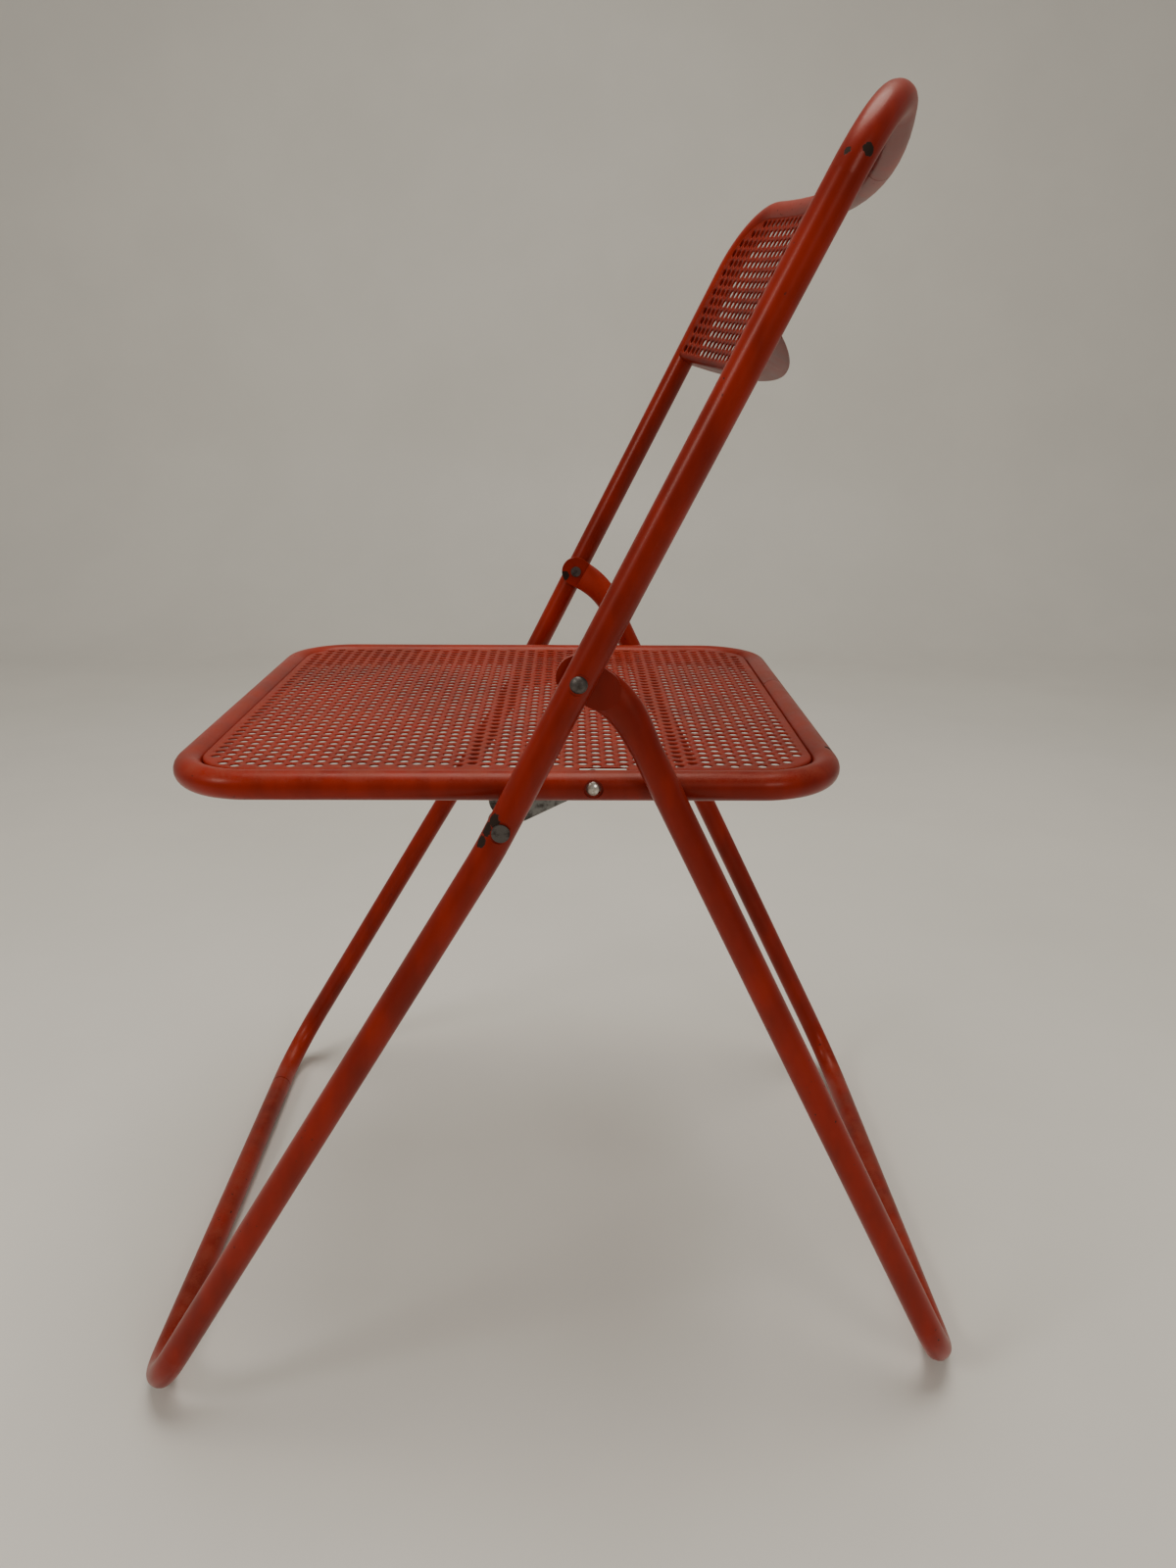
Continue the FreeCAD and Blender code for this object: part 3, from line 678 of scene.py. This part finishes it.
class CHAIR_OT_finish_rivets(Operator):
    """Gives rivets, studs and spigots their dark steel or bright nickel finish"""
    bl_idname = "chair.finish_rivets"
    bl_label = "Finish Rivets"

    def execute(self, context):
        looks = context.scene.chair_paint
        dark = worn_metal(
            "dark_rivet_steel", looks.dark_steel, looks.dark_steel_grime, roughness=0.34, brushed=1.0)
        bright = worn_metal(
            "nickel_plate", looks.nickel, looks.nickel_grime, roughness=0.16, brushed=1.0)
        dark_nodes = ("leg_rivet", "frame_rivet", "seat_stud", "link_rivet_end")
        for side in SIDES:
            finish_nodes([name + "_" + side for name in dark_nodes], dark)
            finish_nodes(["link_rivet_" + side], bright)
        finish_nodes(["frame_top_spigot", "frame_floor_spigot", "seat_spigot"], dark)
        return {"FINISHED"}


class CHAIR_OT_finish_links(Operator):
    """Gives links, washers and spacers their dull zinc plate"""
    bl_idname = "chair.finish_links"
    bl_label = "Finish Links"

    def execute(self, context):
        looks = context.scene.chair_paint
        zinc = worn_metal("dull_zinc", looks.zinc, looks.zinc_grime, roughness=0.38, brushed=0.15)
        zinc_nodes = ("seat_link", "leg_washer", "frame_washer", "link_spacer", "stud_washer")
        for side in SIDES:
            finish_nodes([name + "_" + side for name in zinc_nodes], zinc)
        return {"FINISHED"}


class CHAIR_OT_set_stage(Operator):
    """Lays the pale floor, hangs the soft lights and stands the camera"""
    bl_idname = "chair.set_stage"
    bl_label = "Set Stage"

    def execute(self, context):
        studio = context.scene.chair_studio
        self.lay_floor(studio)
        self.hang_light(
            studio, "ceiling_softbox", place=(0.1, 0.1, 2.6), target=(0.1, 0.0, 0.3), size=1.6, power=42.0)
        self.hang_light(
            studio, "left_softbox", place=(-2.0, -1.5, 1.9), target=(0.0, 0.0, 0.45), size=0.9, power=20.0)
        self.hang_light(
            studio, "camera_softbox", place=(1.2, -2.6, 1.6), target=(0.0, 0.0, 0.45), size=1.0, power=14.0)
        self.stand_camera(studio)
        world = bpy.data.worlds.new("studio_air")
        world.use_nodes = True
        air = world.node_tree.nodes["Background"]
        air.inputs["Color"].default_value = (*studio.air_colour, 1.0)
        air.inputs["Strength"].default_value = studio.air_strength
        context.scene.world = world
        return {"FINISHED"}

    def lay_floor(self, studio):
        """Floor that sweeps up into a backdrop behind the chair."""
        half_width, front_y, depth, sweep, wall_height = 6.0, -6.0, 8.2, 0.6, 4.0
        bm = bmesh.new()
        front = [bm.verts.new((side * half_width, front_y, 0.0)) for side in SIDES.values()]
        back = extrude_edges(bm, [bm.edges.new(front)], lambda place: place + Vector((0, depth, 0)))
        for along, up in quarter_bend(sweep, FLOOR_STEPS):
            back = extrude_edges(
                bm, back, lambda place, along=along, up=up: place + Vector((0, along, up)))
        extrude_edges(bm, back, lambda place: place + Vector((0, 0, wall_height)))
        bmesh.ops.recalc_face_normals(bm, faces=bm.faces[:])
        if bm.faces[0].normal.z < 0:
            bmesh.ops.reverse_faces(bm, faces=bm.faces[:])
        for face in bm.faces:
            face.smooth = True
        mesh = bpy.data.meshes.new("studio_floor")
        bm.to_mesh(mesh)
        bm.free()
        floor = add_object("studio_floor", mesh)
        paint = Paint("pale_floor")
        mottle = paint.noise(3.0, 4.0, 0.6)
        colour = paint.mix(mottle.ramp(0.3, 0.7), studio.floor, shaded(studio.floor, 0.96))
        give_material(floor, paint.finish(Base_Color=colour, Roughness=0.45 + mottle * 0.1))

    def hang_light(self, studio, name, place, target, size, power):
        """Round soft light that faces a target."""
        data = bpy.data.lights.new(name, "AREA")
        data.shape = "DISK"
        data.size = size
        data.energy = power
        data.color = studio.lamp_colour
        lamp = add_object(name, data)
        aim = (Vector(target) - Vector(place)).to_track_quat("-Z", "Y")
        lamp.matrix_world = Matrix.LocRotScale(Vector(place), aim, None)

    def stand_camera(self, studio):
        """Camera that looks along +Y when its yaw, pitch and roll are all nothing."""
        yaw, pitch, roll = studio.camera_turn
        forward = Vector(
            (math.sin(yaw) * math.cos(pitch), math.cos(yaw) * math.cos(pitch), -math.sin(pitch)))
        level = Vector((math.cos(yaw), -math.sin(yaw), 0.0))
        above = level.cross(forward)
        right = level * math.cos(roll) + above * math.sin(roll)
        up = above * math.cos(roll) - level * math.sin(roll)
        data = bpy.data.cameras.new("studio_camera")
        data.sensor_fit = "HORIZONTAL"
        data.sensor_width = 36.0
        data.lens = studio.camera_lens
        data.clip_start = 0.01
        camera = add_object("studio_camera", data)
        turn = Matrix((right, up, -forward)).transposed().to_4x4()
        camera.matrix_world = Matrix.Translation(Vector(studio.camera_place)) @ turn
        bpy.context.scene.camera = camera


class CHAIR_PT_panel(Panel):
    """Lists the chair's pieces and their sizes"""
    bl_idname = "CHAIR_PT_panel"
    bl_label = "Folding Chair"
    bl_space_type = "VIEW_3D"
    bl_region_type = "UI"
    bl_category = "Chair"

    def draw(self, context):
        layout = self.layout
        for operator in OPERATORS:
            layout.operator(operator.bl_idname)
        for group in (context.scene.chair_sheets, context.scene.chair_paint, context.scene.chair_studio):
            column = layout.column()
            for name in group.__annotations__:
                column.prop(group, name)


OPERATORS = (
    CHAIR_OT_paint_tubes,
    CHAIR_OT_seat_sheet,
    CHAIR_OT_back_sheet,
    CHAIR_OT_finish_rivets,
    CHAIR_OT_finish_links,
    CHAIR_OT_set_stage,
)
CLASSES = (ChairSheets, ChairPaint, ChairStudio) + OPERATORS + (CHAIR_PT_panel,)


def register():
    for each in CLASSES:
        bpy.utils.register_class(each)
    bpy.types.Scene.chair_sheets = PointerProperty(type=ChairSheets)
    bpy.types.Scene.chair_paint = PointerProperty(type=ChairPaint)
    bpy.types.Scene.chair_studio = PointerProperty(type=ChairStudio)


def unregister():
    del bpy.types.Scene.chair_studio
    del bpy.types.Scene.chair_paint
    del bpy.types.Scene.chair_sheets
    for each in reversed(CLASSES):
        bpy.utils.unregister_class(each)


def main():
    register()
    bpy.ops.chair.paint_tubes()
    bpy.ops.chair.seat_sheet()
    bpy.ops.chair.back_sheet()
    bpy.ops.chair.finish_rivets()
    bpy.ops.chair.finish_links()
    bpy.ops.chair.set_stage()


if __name__ == "__main__":
    main()
